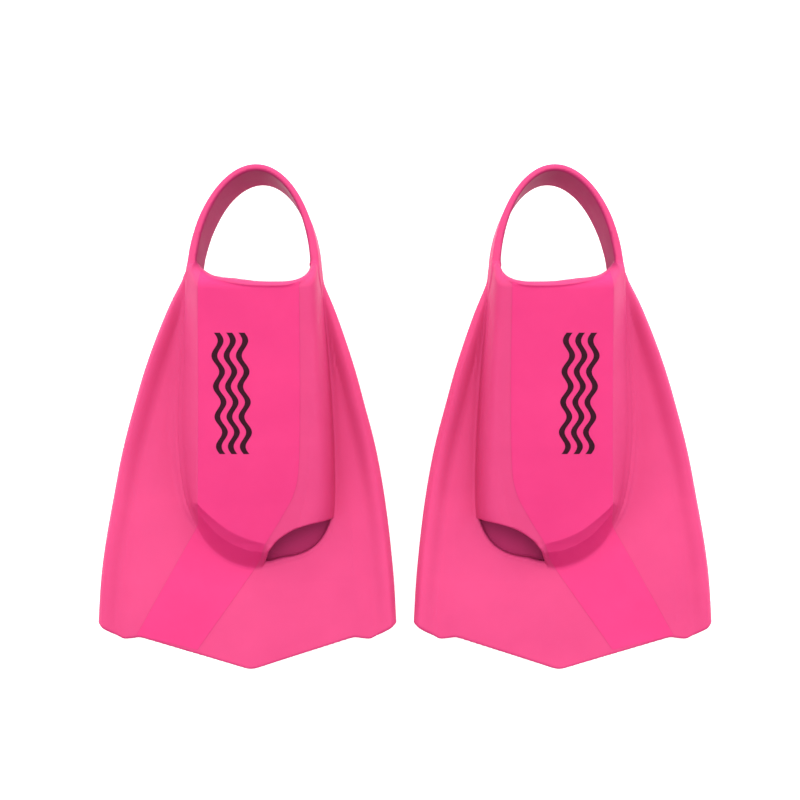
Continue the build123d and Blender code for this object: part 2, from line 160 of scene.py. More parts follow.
class FinShape(bpy.types.PropertyGroup):
    """Sizes of one fin, in millimetres."""
    cell: length("Cell", "Size of the mesh's cells", 1.35)
    wall: length("Wall", "Thickness of the foot pocket's walls", 3.5)
    sole: length("Sole", "Thickness under the foot", 4.0)
    web_low: length("Web underside", "Height of the blade's underside", 3.0)
    web_thickness: length("Web", "Thickness of the blade at its bending line", 5.5)
    tip_thickness: length("Tip", "Thickness of the blade at its tip", 3.0)
    rise: length("Rise", "How far the wings rise towards the strap's roots", 31.0)
    rail_height: length("Rail", "How far the side rails stand above the web", 2.4)
    rim_height: length("Rim", "Height of the instep rim", 72.0)
    root_height: length("Root", "Height of the rim where the strap starts", 54.5)
    toe_height: length("Toe", "Height of the foot pocket over the toes", 28.5)
    strap_height: length("Strap height", "Height of the heel strap's band", 33.0)
    strap_thickness: length("Strap thickness", "Thickness of the heel strap's band", 4.5)
    strap_tuck: length("Strap tuck", "How far the heel's lower edge is tucked in", 3.3)
    lip: length("Lip", "How far the instep rim's lip stands out", 0.9)
    inlay: length("Inlay", "How far the deeper pink band stands proud", 0.35)


class FinColours(bpy.types.PropertyGroup):
    """Colours and finish of the silicone and the print."""
    body: colour("Body", "Main pink", (0.69, 0.0665, 0.206))
    band: colour("Band", "Deeper pink of the instep band", (0.75, 0.049, 0.206))
    ink: colour("Ink", "Printed stripes", (0.036, 0.006, 0.015))
    roughness: share("Roughness", "Roughness of the silicone", 0.42)


class StudioLook(bpy.types.PropertyGroup):
    """Floor, lights and camera."""
    floor: colour("Floor", "Colour of the floor", (0.97, 0.97, 0.97))
    glow: share("Glow", "How far the floor's own light lifts the shadows on it", 0.4)
    camera_height: bpy.props.FloatProperty(name="Camera height", description="Height above the floor",
                                           default=0.64, min=0.1, unit="LENGTH")
    lens: bpy.props.FloatProperty(name="Lens", description="Focal length in millimetres", default=40.0, min=1)
    key: bpy.props.FloatProperty(name="Key light", description="Power of the main light", default=6.3, min=0,
                                 unit="POWER")
    fill: bpy.props.FloatProperty(name="Fill light", description="Strength of the surrounding light",
                                  default=1.62, min=0)


# ---- curves and smooth steps ---------------------------------------------------------------------
def smooth_line(points, per_span=12):
    """Points along a smooth curve through the given ones."""
    p = np.array(points, float)
    p = np.vstack([2 * p[0] - p[1], p, 2 * p[-1] - p[-2]])
    t = np.linspace(0, 1, per_span, endpoint=False)[:, None]
    spans = []
    for a, b, c, d in zip(p, p[1:], p[2:], p[3:]):
        squared = (2 * a - 5 * b + 4 * c - d) * t**2
        cubed = (3 * b - a - 3 * c + d) * t**3
        spans.append(0.5 * (2 * b + (c - a) * t + squared + cubed))
    return np.vstack(spans + [p[-2:-1]])


def plan_line(points, per_span=12):
    """A smooth curve given as (y, x) points, as x, y points."""
    return smooth_line(points, per_span)[:, ::-1]


def at(points, y):
    """x on a smooth curve at each y."""
    line = plan_line(points)
    order = np.argsort(line[:, 1])
    return np.interp(y, line[order, 1], line[order, 0])


def step(a, b, value):
    """0 before a and 1 after b, with a smooth change between them."""
    t = np.clip((value - a) / (b - a), 0, 1)
    return t * t * (3 - 2 * t)


def join(a, b, radius):
    """The nearer of two surfaces, with a fillet."""
    h = np.maximum(radius - np.abs(a - b), 0) / radius
    return np.minimum(a, b) - h * h * radius / 4


def meet(a, b, radius):
    """What lies within both surfaces, with a rounded edge."""
    return -join(-a, -b, radius)


def distance(outline, x, y):
    """Distance from a closed outline in plan, negative inside."""
    best = np.full(x.shape, 1e9)
    inside = np.zeros(x.shape, bool)
    for (ax, ay), (bx, by) in zip(outline, np.roll(outline, -1, 0)):
        ex, ey = bx - ax, by - ay
        px, py = x - ax, y - ay
        t = np.clip((px * ex + py * ey) / max(ex * ex + ey * ey, 1e-9), 0, 1)
        best = np.minimum(best, (px - t * ex) ** 2 + (py - t * ey) ** 2)
        if ay != by:
            crosses = (ay > y) != (by > y)
            inside ^= crosses & (px < ex * py / ey)
    return np.where(inside, -1, 1) * np.sqrt(best)


def rounded(corners, radii, steps=6):
    """A closed outline with its corners rounded."""
    c = np.array(corners, float)
    points = []
    for before, corner, after, radius in zip(np.roll(c, 1, 0), c, np.roll(c, -1, 0), radii):
        if radius == 0:
            points.append(corner)
            continue
        u, v = before - corner, after - corner
        u, v = u / np.linalg.norm(u), v / np.linalg.norm(v)
        reach = radius / np.tan(np.arccos(np.clip(u @ v, -1, 1)) / 2)
        start, end = corner + u * reach, corner + v * reach
        for t in np.linspace(0, 1, steps):
            points.append((1 - t) ** 2 * start + 2 * t * (1 - t) * corner + t * t * end)
    return np.array(points)


# ---- outlines ------------------------------------------------------------------------------------
def fin_outline():
    """Blade, wings and rails in plan."""
    outer, inner = plan_line(OUTER_EDGE), plan_line(INNER_EDGE)
    notch = TIP - 24
    tip = [
        (HALF_WIDTH - 1.2, -30), (HALF_WIDTH - 18.5, -notch - 1.8), (HALF_WIDTH - 30, -notch), (2.8, -TIP),
        (-HALF_WIDTH + 30, -notch), (-HALF_WIDTH + 18.5, -notch - 1.8), (-HALF_WIDTH + 1.2, -30),
    ]
    corners = np.vstack([inner[::-1], tip, outer])
    radii = [0] * len(inner) + [12, 7, 9, 15, 9, 7, 12] + [0] * len(outer)
    return rounded(corners, radii)


def pocket_outline():
    """The foot pocket in plan, closed behind the strap's roots."""
    return np.vstack([plan_line(POCKET_OUTER), plan_line(POCKET_INNER)])


def panel_outline():
    return np.vstack([plan_line(PANEL_OUTER), plan_line(PANEL_FRONT), plan_line(PANEL_INNER)])


def ankle_outline():
    return np.vstack([plan_line(ANKLE), [(52, 300), (-27.5, 300)]])


def drain_outline():
    return np.vstack([plan_line(DRAIN_REAR), plan_line(DRAIN_FRONT)])


def drain_apron():
    """Where the blade starts right at the drain, with no wall ahead of it."""
    return np.vstack([plan_line(DRAIN_REAR), [(74, 50), (74, 2), (6.4, 2)]])


def strap_outline():
    """The strap's outer surface in plan, closed far ahead in the foot pocket."""
    reach, half = HEEL - ROOT.y, (55.5 + 32) / 2
    turn = np.linspace(-np.pi / 2, np.pi / 2, 49)
    along = np.cos(turn)
    aside = np.sign(turn) * np.sqrt(1 - along**STRAP_FULLNESS)
    loop = np.stack([ROOT.x + STRAP_LEAN * along + half * aside, ROOT.y + reach * along], -1)
    return np.vstack([[(-43, 150), (-36.8, 190)], loop, [(57.5, 190), (60.5, 150)]])


# ---- the fin's surface ---------------------------------------------------------------------------
class FinForm:
    """The fin's surface, as a distance that is negative inside the silicone."""

    STEP = 0.6

    def __init__(self, shape):
        self.shape = shape
        self.low = np.array([-HALF_WIDTH - 6, -TIP - 6])
        high = np.array([HALF_WIDTH + 6, HEEL + 8])
        count = np.ceil((high - self.low) / self.STEP).astype(int) + 1
        xs, ys = (self.low[i] + self.STEP * np.arange(count[i]) for i in (0, 1))
        x, y = np.meshgrid(xs, ys, indexing="ij")
        outline = distance(fin_outline(), x, y)
        base = distance(pocket_outline(), x, y)
        panel = distance(panel_outline(), x, y)
        top, bottom = self.web(x, y)
        roof = self.roof(x, y, base, panel, top)
        self.maps = {
            "outline": outline,
            "base": base,
            "panel": panel,
            "top": top,
            "bottom": bottom,
            "roof": roof,
            "top_slope": self.steepness(top),
            "roof_slope": self.steepness(roof),
            "ankle": distance(ankle_outline(), x, y),
            "drain": distance(drain_outline(), x, y),
            "apron": distance(drain_apron(), x, y),
            "strap": distance(strap_outline(), x, y),
        }

    def steepness(self, height):
        across, along = np.gradient(height, self.STEP)
        return np.sqrt(1 + across**2 + along**2)

    def strap_thickness(self, y):
        """The heel strap grows thicker towards its roots, and runs out into the foot pocket's wall."""
        wall = self.shape.wall
        thickness = self.shape.strap_thickness + ROOT_SWELL * (1 - step(ROOT.y, HEEL - 12, y))
        return wall + (thickness - wall) * step(ROOT.y - STRAP_END, ROOT.y - 2, y)

    def rise(self, y):
        return self.shape.rise * np.clip((y - BALL) / (ROOT.y - BALL), 0, 1.1) ** RISE_CURVE

    def web(self, x, y):
        """Upper and lower surface of the blade, the wings and their rails."""
        s = self.shape
        tip = step(0, -TIP, y)
        thickness = s.web_thickness + (s.tip_thickness - s.web_thickness) * tip
        low = s.web_low + self.rise(y)
        beside = np.minimum(x - at(OUTER_EDGE, y), at(INNER_EDGE, y) - x)
        crest = step(*RAIL_OUTSIDE, beside) * (1 - step(*RAIL_INSIDE, beside))
        beyond_fold = np.maximum(at(FOLD_OUTER, y) - x, x - at(FOLD_INNER, y))
        channel = np.maximum(beyond_fold, 0) / np.maximum(beyond_fold + np.maximum(beside - FOLD_RUN, 0), 1)
        rail = s.rail_height * (1 - RAIL_LOSS * tip)
        sunk = CHANNEL_DEPTH * channel**CHANNEL_CURVE * (1 - crest) * (1 - 0.5 * tip)
        top = low + thickness + rail * crest - sunk
        bottom = low - s.web_low * (1 - step(*RAIL_KEEL, beside))
        return top, bottom

    def roof(self, x, y, base, panel, top):
        """Upper surface of the foot pocket, falling from the instep panel's border to the pocket's side."""
        s = self.shape
        height = np.interp(y, [10, 32, 60, 100, 150, 207, 240],
                           [s.toe_height - 3, s.toe_height, 35.5, 46, 58, s.rim_height, s.rim_height + 8])
        middle = (at(PANEL_OUTER, y) + at(PANEL_INNER, y)) / 2
        height = height - ROOF_CROWN * np.clip(np.abs(x - middle) / ROOF_HALF_WIDTH, 0, 1.2) ** 2
        outside = np.maximum(panel, 0)
        t = outside / np.maximum(outside + np.maximum(-base, 0), 1e-6)
        roundness = OUTER_ROUNDNESS + INNER_ROUNDNESS * step(5, 45, x - middle)
        foot = np.minimum(top + SIDE_WALL * step(150, ROOT.y - 4, y), height)
        t = np.clip(t, 0, 1)
        side_fall = t**roundness
        toe_fall = np.interp(t, [0, EAVE[0], 1], [0, EAVE[1], 1])
        toe = (1 - step(46, 66, y)) * (1 - step(12, 22, x))
        return foot + (height - foot) * (1 - side_fall - (toe_fall - side_fall) * toe)

    def read(self, name, x, y):
        """A map's value between its points."""
        grid = self.maps[name]
        u = np.clip((x - self.low[0]) / self.STEP, 0, grid.shape[0] - 1.001)
        v = np.clip((y - self.low[1]) / self.STEP, 0, grid.shape[1] - 1.001)
        i, j = u.astype(int), v.astype(int)
        u, v = u - i, v - j
        near = grid[i, j] * (1 - v) + grid[i, j + 1] * v
        far = grid[i + 1, j] * (1 - v) + grid[i + 1, j + 1] * v
        return near * (1 - u) + far * u

    def pocket(self, x, y, z):
        """Distance from the foot pocket's outer surface, under its roof and between its sides."""
        over_roof = (z - self.read("roof", x, y)) / self.read("roof_slope", x, y)
        shoulder = self.shape.root_height + (ROOT.y + SHOULDER - y) * SHOULDER_SLOPE
        cap = meet(over_roof, (z - shoulder) * SHOULDER_SCALE, 4.0)
        return meet(cap, self.read("base", x, y), 1.5)

    def __call__(self, x, y, z):
        s = self.shape
        over_web = (z - self.read("top", x, y)) / self.read("top_slope", x, y)
        plate = meet(over_web, self.read("bottom", x, y) - z, 2.4)
        plate = meet(plate, self.read("outline", x, y), 3.0)

        pocket = self.pocket(x, y, z)
        cavity = meet(pocket + s.wall, s.sole - z, 3.0)
        ankle = self.read("ankle", x, y)
        lip = s.lip * (1 - step(1.5, 3.4, ankle))
        outer = meet(pocket - lip, -z, 2.5)
        lower_edge = (y - HEEL_CUT) * 0.43 - (z - 2) * 0.9
        outer = meet(outer, lower_edge, 3.0)
        outer = meet(outer, y - ROOT.y - POCKET_END, 4.0)

        fillet = 2.0 + 7.0 * (1 - step(-42, -24, x)) * step(28, 60, y)
        body = np.maximum(join(plate, outer, fillet), -z)
        body = meet(body, -cavity, 1.6)
        rim_height = s.rim_height - RIM_DROP * step(8, 34, np.abs(x - 19)) * step(200, 224, y)
        opening = -ankle - (rim_height - z) * ANKLE_FALL
        body = meet(body, opening * ANKLE_SCALE, 2.3)
        drain = meet(self.read("drain", x, y), s.sole - z, 1.0)
        body = meet(body, -drain, 1.3)
        apron = meet(self.read("apron", x, y), self.read("top", x, y) + 0.5 - z, 0.8)
        body = meet(body, -apron, 1.0)

        reach = np.clip((y - ROOT.y) / (HEEL - ROOT.y), 0, 1)
        tuck = s.strap_tuck * (1 - (z - ROOT.z + s.strap_height / 2) / s.strap_height) * reach
        loop = self.read("strap", x, y + tuck)
        half = s.strap_height / 2 * (0.84 + 0.16 * step(0, 0.6, reach))
        half = half - 12 * (1 - step(ROOT.y - STRAP_END, ROOT.y, y))
        thickness = self.strap_thickness(y)
        band = np.abs(loop + thickness / 2) - thickness / 2
        strap = meet(band, np.abs(z - ROOT.z) - half, 2.2)
        strap = meet(strap, ROOT.y - STRAP_END - y, 3.0)
        return join(body, strap, 2.0)

    def slope(self, x, y, z, reach=0.3):
        """Which way the surface faces, and how steeply the distance grows."""
        return np.stack([
            self(x + reach, y, z) - self(x - reach, y, z),
            self(x, y + reach, z) - self(x, y - reach, z),
            self(x, y, z + reach) - self(x, y, z - reach),
        ], -1) / (2 * reach)

    def settle(self, points, rounds=3):
        """Moves points on to the surface."""
        for _ in range(rounds):
            x, y, z = points.T
            grade = self.slope(x, y, z)
            move = self(x, y, z)[:, None] * grade / np.maximum((grade**2).sum(-1, keepdims=True), 0.05)
            size = np.linalg.norm(move, axis=1, keepdims=True)
            points = points - move * np.minimum(1, 0.7 / np.maximum(size, 1e-9))
        return points

    def normals(self, points):
        grade = self.slope(*points.T, reach=0.45)
        return grade / np.maximum(np.linalg.norm(grade, axis=1, keepdims=True), 1e-9)

    def inner_shade(self, points):
        """Where painted shade goes inside the foot pocket and the strap's loop: 1 on the faces that lie
        against the foot, 0 outside.
        """
        x, y, z = points.T
        above_sole = step(2.5, 3.8, z)
        before_strap = 1 - step(ROOT.y, ROOT.y + 6, y)
        in_pocket = step(-0.6, -3.0, self.pocket(x, y, z)) * above_sole * before_strap
        depth = self.read("strap", x, y) + self.strap_thickness(y)
        in_loop = step(1.1, 0.2, depth) * step(ROOT.y - 5, ROOT.y + 5, y)
        return np.maximum(in_pocket, in_loop)

    def height(self, x, y, top=84.0):
        """The highest point of the surface over each place in plan."""
        z = np.full(x.shape, top)
        for _ in range(90):
            z = z - np.clip(self(x, y, z) * 0.75, -0.5, 3.0)
        return z


def skin(form, low, high, cell):
    """Corners and four-sided faces over the form's surface, one corner in each cell that it crosses."""
    axes = [np.arange(a, b + cell, cell) for a, b in zip(low, high)]
    x, y = np.meshgrid(axes[0], axes[1], indexing="ij")
    values = np.empty([len(a) for a in axes], np.float32)
    for k, z in enumerate(axes[2]):
        values[:, :, k] = form(x, y, np.full(x.shape, z))
    inside = values < 0
    n = [len(a) - 1 for a in axes]
    corner = [(i, j, k) for i in (0, 1) for j in (0, 1) for k in (0, 1)]
    view = {c: inside[c[0]:c[0] + n[0], c[1]:c[1] + n[1], c[2]:c[2] + n[2]] for c in corner}
    filled = sum(v.astype(np.int8) for v in view.values())
    crossed = (filled > 0) & (filled < 8)
    cells = np.argwhere(crossed)
    index = np.full(crossed.shape, -1, np.int64)
    index[crossed] = np.arange(len(cells))
    total, count = np.zeros((len(cells), 3)), np.zeros(len(cells))
    for a in corner:
        for axis in range(3):
            if a[axis]:
                continue
            b = tuple(1 if i == axis else a[i] for i in range(3))
            va, vb = (values[tuple((cells + c).T)] for c in (a, b))
            hit = (va < 0) != (vb < 0)
            t = np.where(hit, va / np.where(hit, va - vb, 1), 0)
            place = np.array(a) + t[:, None] * (np.array(b) - np.array(a))
            total += np.where(hit[:, None], place, 0)
            count += hit
    points = (cells + total / count[:, None]) * cell + np.array([a[0] for a in axes])
    faces = []
    for axis in range(3):
        u, v = [i for i in range(3) if i != axis]
        first = np.take(inside, range(n[axis]), axis)
        second = np.take(inside, range(1, n[axis] + 1), axis)
        edges = np.argwhere(first != second)
        keep = (edges[:, u] > 0) & (edges[:, v] > 0) & (edges[:, u] < n[u]) & (edges[:, v] < n[v])
        edges = edges[keep]
        ring = []
        for du, dv in ((1, 1), (0, 1), (0, 0), (1, 0)):
            at_cell = edges.copy()
            at_cell[:, u] -= du
            at_cell[:, v] -= dv
            ring.append(index[tuple(at_cell.T)])
        ring = np.stack(ring, 1)
        solid_first = first[tuple(edges.T)]
        flip = solid_first if axis == 1 else ~solid_first
        ring[flip] = ring[flip][:, ::-1]
        faces.append(ring)
    return points, np.vstack(faces)


# ---- meshes --------------------------------------------------------------------------------------
def placed(points, side):
    """Points of the right fin's own frame, in metres in the pair's frame."""
    points = np.array(points, float)
    points[:, 0] += BEND.x
    points[:, 1] += BEND.y
    if side == "left":
        points[:, 0] *= -1
    return points / 1000


def new_mesh(name, points, faces, side):
    if side == "left":
        faces = [tuple(face)[::-1] for face in faces]
    mesh = bpy.data.meshes.new(name)
    mesh.from_pydata(placed(points, side).tolist(), [], [tuple(map(int, face)) for face in faces])
    mesh.update()
    return mesh


def smooth_shaded(mesh, form, side):
    """Shades a mesh by the form's own slope, so that pieces meet without a seam."""
    co = np.zeros(len(mesh.vertices) * 3, np.float32)
    mesh.vertices.foreach_get("co", co)
    points = co.reshape(-1, 3).astype(float) * 1000
    if side == "left":
        points[:, 0] *= -1
    points[:, 0] -= BEND.x
    points[:, 1] -= BEND.y
    normals = form.normals(points)
    if side == "left":
        normals[:, 0] *= -1
    mesh.polygons.foreach_set("use_smooth", [True] * len(mesh.polygons))
    mesh.normals_split_custom_set_from_vertices(normals.tolist())
    # stores where painted shade darkens the faces inside the pocket and the strap
    mesh.attributes.new("inner_shade", "FLOAT", "POINT").data.foreach_set("value", form.inner_shade(points))


def new_object(name, mesh, *materials):
    piece = bpy.data.objects.new(name, mesh)
    bpy.context.scene.collection.objects.link(piece)
    for material in materials:
        mesh.materials.append(material)
    return piece


def cut_off(mesh, y, keep_heel):
    """Cuts a mesh across at y, keeps one side and closes the cut."""
    work = bmesh.new()
    work.from_mesh(mesh)
    normal = (0, -1 if keep_heel else 1, 0)
    cut = bmesh.ops.bisect_plane(work, geom=work.verts[:] + work.edges[:] + work.faces[:], dist=1e-7,
                                 plane_co=(0, y, 0), plane_no=normal, clear_outer=True)
    edges = [g for g in cut["geom_cut"] if isinstance(g, bmesh.types.BMEdge)]
    bmesh.ops.triangle_fill(work, use_beauty=True, edges=edges, normal=normal)
    work.to_mesh(mesh)
    work.free()
    mesh.update()


# ---- materials -----------------------------------------------------------------------------------
class Nodes:
    """Adds and links nodes of one material."""

    def __init__(self, name):
        self.material = bpy.data.materials.new(name)
        self.material.use_nodes = True
        self.tree = self.material.node_tree
        self.shader = self.tree.nodes["Principled BSDF"]

    def add(self, kind, **inputs):
        node = self.tree.nodes.new(kind)
        for key, value in inputs.items():
            socket = node.inputs[key.replace("_", " ")]
            if isinstance(value, bpy.types.NodeSocket):
                self.tree.links.new(value, socket)
            else:
                socket.default_value = value
        return node

    def mixed(self, share, first, second):
        """One colour changing to a plain second one."""
        node = self.add("ShaderNodeMix")
        node.data_type = "RGBA"
        self.tree.links.new(share, node.inputs["Factor"])
        self.tree.links.new(first, node.inputs["A"])
        node.inputs["B"].default_value = (*second, 1)
        return node.outputs["Result"]

    def set(self, socket, value):
        if isinstance(value, bpy.types.NodeSocket):
            self.tree.links.new(value, self.shader.inputs[socket])
        else:
            self.shader.inputs[socket].default_value = value


def place_in_metres(nodes):
    return nodes.tree.nodes.new("ShaderNodeTexCoord").outputs["Object"]


def ramp(nodes, value, stops):
    node = nodes.add("ShaderNodeValToRGB", Fac=value)
    while len(node.color_ramp.elements) < len(stops):
        node.color_ramp.elements.new(0.5)
    for element, (position, tone) in zip(node.color_ramp.elements, stops):
        element.position = position
        element.color = (*tone, 1)
    return node.outputs["Color"]


SHADED_FACING = (0, -1, -0.55)                 # faces that look this way get the deepest painted shade
CORNER_SHADE = (0.82, 0.72, 0.76)                 # how much of each colour is left in sheltered corners, as painted shade
TOE_SHADE = (0.8, 0.49, 0.7)                # and, as painted shade, on a face towards the tip
INNER_SHADE = (0.59, 0.42, 0.58)                 # and, as painted shade, on the faces inside the pocket and the strap


def noise(nodes, place, scale, detail, roughness):
    return nodes.add("ShaderNodeTexNoise", Vector=place, Scale=scale, Detail=detail,
                     Roughness=roughness).outputs["Fac"]


def silicone(name, tone, roughness):
    """Moulded silicone: faintly cloudy, with a fine matt grain, and light that sinks in a little. Its base
    colour also carries painted shade: deeper on faces turned towards the tip, in sheltered corners and on the
    faces inside the pocket and the strap.
    """
    nodes = Nodes(name)
    place = place_in_metres(nodes)
    cloud = noise(nodes, place, 22.0, 3.0, 0.55)
    tone = np.array(tone)
    pale = ramp(nodes, cloud, [(0.3, tone * 0.965), (0.7, np.minimum(tone * 1.03 + 0.004, 1))])
    # painted shade: the colour deepens on faces turned towards the tip and down
    facing = nodes.tree.nodes.new("ShaderNodeTexCoord").outputs["Normal"]
    facing_shaded_side = nodes.tree.nodes.new("ShaderNodeVectorMath")
    facing_shaded_side.operation = "DOT_PRODUCT"
    nodes.tree.links.new(facing, facing_shaded_side.inputs[0])
    facing_shaded_side.inputs[1].default_value = SHADED_FACING
    steepness = nodes.add("ShaderNodeMapRange", Value=facing_shaded_side.outputs["Value"])
    steepness.inputs["From Min"].default_value = -0.42
    steepness.inputs["From Max"].default_value = 0.35
    painted_shade_tone = nodes.mixed(steepness.outputs["Result"], pale, tone * TOE_SHADE)
    # painted shade: the colour darkens in sheltered corners and creases
    occlusion = nodes.add("ShaderNodeAmbientOcclusion", Distance=0.03).outputs["AO"]
    corner_shade = nodes.add("ShaderNodeMapRange", Value=occlusion)
    corner_shade.inputs["From Min"].default_value = 0.95
    corner_shade.inputs["From Max"].default_value = 0.45
    painted_shade_tone = nodes.mixed(corner_shade.outputs["Result"], painted_shade_tone, tone * CORNER_SHADE)
    # painted shade on the faces inside the foot pocket and the strap's loop
    inner_shade = nodes.tree.nodes.new("ShaderNodeAttribute")
    inner_shade.attribute_name = "inner_shade"
    nodes.set("Base Color", nodes.mixed(inner_shade.outputs["Fac"], painted_shade_tone, tone * INNER_SHADE))
    grain = noise(nodes, place, 1400.0, 2.0, 0.6)
    smear = noise(nodes, place, 60.0, 4.0, 0.6)
    rough = nodes.add("ShaderNodeMapRange", Value=smear)
    rough.inputs["From Min"].default_value = 0.3
    rough.inputs["From Max"].default_value = 0.7
    rough.inputs["To Min"].default_value = roughness - 0.05
    rough.inputs["To Max"].default_value = roughness + 0.06
    nodes.set("Roughness", rough.outputs["Result"])
    ripple = noise(nodes, place, 90.0, 2.0, 0.5)
    soft = nodes.add("ShaderNodeBump", Strength=0.06, Distance=0.001, Height=ripple)
    fine = nodes.add("ShaderNodeBump", Strength=0.08, Distance=0.0001, Height=grain)
    nodes.tree.links.new(soft.outputs["Normal"], fine.inputs["Normal"])
    nodes.set("Normal", fine.outputs["Normal"])
    nodes.set("Subsurface Weight", 0.12)
    nodes.set("Subsurface Radius", (1.0, 0.35, 0.45))
    nodes.set("Subsurface Scale", 0.003)
    nodes.set("IOR", 1.41)
    nodes.set("Specular IOR Level", 0.03)
    return nodes.material


def printed_ink(name, tone):
    """Screen printed ink: almost black, matt, with a slightly uneven layer."""
    nodes = Nodes(name)
    place = place_in_metres(nodes)
    blotch = noise(nodes, place, 350.0, 4.0, 0.65)
    tone = np.array(tone)
    nodes.set("Base Color", ramp(nodes, blotch, [(0.3, tone * 0.7), (0.75, tone * 1.2)]))
    nodes.set("Roughness", 0.6)
    nodes.set("Specular IOR Level", 0.08)
    bump = nodes.add("ShaderNodeBump", Strength=0.12, Distance=0.0001, Height=blotch)
    nodes.set("Normal", bump.outputs["Normal"])
    return nodes.material


def floor_paint(name, tone, glow):
    """Pale matt floor with a faint haze, which gives off a little light of its own."""
    nodes = Nodes(name)
    place = place_in_metres(nodes)
    haze = nodes.add("ShaderNodeTexNoise", Vector=place, Scale=3.0, Detail=2.0).outputs["Fac"]
    tone = np.array(tone)
    nodes.set("Base Color", ramp(nodes, haze, [(0.3, tone * 0.995), (0.7, tone)]))
    nodes.set("Roughness", 0.9)
    nodes.set("Emission Color", (1, 1, 1, 1))
    nodes.set("Emission Strength", glow)
    return nodes.material


MADE = {}


def made(key, make, *values):
    """What a function makes, made once and kept under a name."""
    if key not in MADE:
        MADE[key] = make(*values)
    return MADE[key]


def fin_form():
    return made("form", FinForm, bpy.context.scene.fin_shape)


def fin_skin():
    """The whole fin's corners and faces, made once and used for both fins."""
    def make():
        form = fin_form()
        cell = bpy.context.scene.fin_shape.cell * 1
        low = (-HALF_WIDTH - 3, -TIP - 3, -3)
        high = (HALF_WIDTH + 3, HEEL + 3, 80)
        points, faces = skin(form, low, high, cell)
        return form.settle(points), faces
    return made("skin", make)


def body_material():
    c = bpy.context.scene.fin_colours
    return made("body_pink", silicone, "pink_silicone", tuple(c.body), c.roughness)


# ---- pieces --------------------------------------------------------------------------------------
POCKET_NODES = ("sole", "outer_side", "inner_side", "instep_lip", "toe_plate", "outer_wing", "inner_wing",
                "outer_rail", "inner_rail", "blade_outer_web", "blade_inner_web", "blade_outer_rail",
                "blade_inner_rail")
BAND_NODES = ("instep_panel", "toe_slope", "toe_band", "blade_band")


def pair_y(y):
    """A fin's own y in millimetres, as the pair's y in metres."""
    return (BEND.y + y) / 1000


def pair_x(side):
    """The middle of a fin's blade, as the pair's x in metres."""
    return BEND.x / 1000 * (1 if side == "right" else -1)


def bend_with_blade(piece, side):
    """Bakes a piece's placement into its mesh."""
    across = pair_x(side)
    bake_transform(piece)


class FINS_OT_moulding(bpy.types.Operator):
    """Build each fin's foot pocket, wings, rails and blade"""
    bl_idname = "fins.moulding"
    bl_label = "Mouldings"

    def execute(self, context):
        points, faces = fin_skin()
        for side in SIDES:
            mesh = new_mesh(f"{side}_moulding", points, faces, side)
            cut_off(mesh, pair_y(STRAP_CUT), keep_heel=False)
            smooth_shaded(mesh, fin_form(), side)
            piece = new_object(f"{side}_moulding", mesh, body_material())
            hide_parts(*[f"{side}_{node}" for node in POCKET_NODES])
            bend_with_blade(piece, side)
        return {"FINISHED"}


class FINS_OT_heel_straps(bpy.types.Operator):
    """Build each fin's heel strap with the ankle's rim"""
    bl_idname = "fins.heel_straps"
    bl_label = "Heel straps"

    def execute(self, context):
        points, faces = fin_skin()
        for side in SIDES:
            mesh = new_mesh(f"{side}_strap", points, faces, side)
            cut_off(mesh, pair_y(STRAP_CUT), keep_heel=True)
            smooth_shaded(mesh, fin_form(), side)
            piece = new_object(f"{side}_strap", mesh, body_material())
            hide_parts(f"{side}_heel_strap")
            across = pair_x(side)
            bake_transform(piece)
        return {"FINISHED"}


def resampled(points, shares):
    """Places along a line, by their share of its length."""
    line = np.array(points, float)
    run = np.concatenate([[0], np.cumsum(np.linalg.norm(np.diff(line, axis=0), axis=1))])
    return np.stack([np.interp(shares * run[-1], run, line[:, i]) for i in (0, 1)], -1)


def patch(rear, front, left, right, u, v):
    """A grid of places in plan between four border lines, rear and front running left to right."""
    rear, front = (resampled(line, u)[None] for line in (rear, front))
    left, right = (resampled(line, v)[:, None] for line in (left, right))
    u, v = u[None, :, None], v[:, None, None]
    corners = (1 - u) * (1 - v) * rear[:, :1] + u * (1 - v) * rear[:, -1:]
    corners = corners + (1 - u) * v * front[:, :1] + u * v * front[:, -1:]
    return (1 - v) * rear + v * front + (1 - u) * left + u * right - corners


def between(points, first, last):
    """The stretch of a smooth line given as (y, x) points from one y down to another."""
    line = plan_line(points)
    line = line[np.argsort(-line[:, 1])]
    ys = np.linspace(first, last, 60)
    return np.stack([np.interp(-ys, -line[:, 1], line[:, 0]), ys], -1)


def with_narrow_ends(count, edge):
    """Shares from 0 to 1, evenly spaced but for a narrow first and last step."""
    return np.concatenate([[0], np.linspace(edge, 1 - edge, count), [1]])


def overlay(name, form, places, lift, sunk, side, material):
    """A thin closed plate that lies on the fin's surface, with its edges let in."""
    rows, columns = places.shape[:2]
    x, y = places[..., 0].ravel(), places[..., 1].ravel()
    surface = np.stack([x, y, form.height(x, y)], -1)
    surface = form.settle(surface, 2)
    normals = form.normals(surface)
    edge = np.ones((rows, columns), bool)
    edge[1:-1, 1:-1] = False
    rise = np.where(edge.ravel(), -sunk, lift)[:, None]
    points = np.vstack([surface + normals * rise, surface - normals * (sunk + 0.4)])
    k = np.arange(rows * columns).reshape(rows, columns)
    a, b, c, d = (q.ravel() for q in (k[:-1, :-1], k[1:, :-1], k[1:, 1:], k[:-1, 1:]))
    upper = np.stack([a, b, c, d], 1)
    lower = upper[:, ::-1] + rows * columns
    ring = np.concatenate([k[0, ::-1], k[1:, 0], k[-1, 1:], k[-2:0:-1, -1]])
    after = np.roll(ring, -1)
    skirt = np.stack([after, ring, ring + rows * columns, after + rows * columns], 1)
    mesh = new_mesh(name, points, np.vstack([upper, lower, skirt]), side)
    smooth_shaded(mesh, form, side)
    return new_object(name, mesh, material)


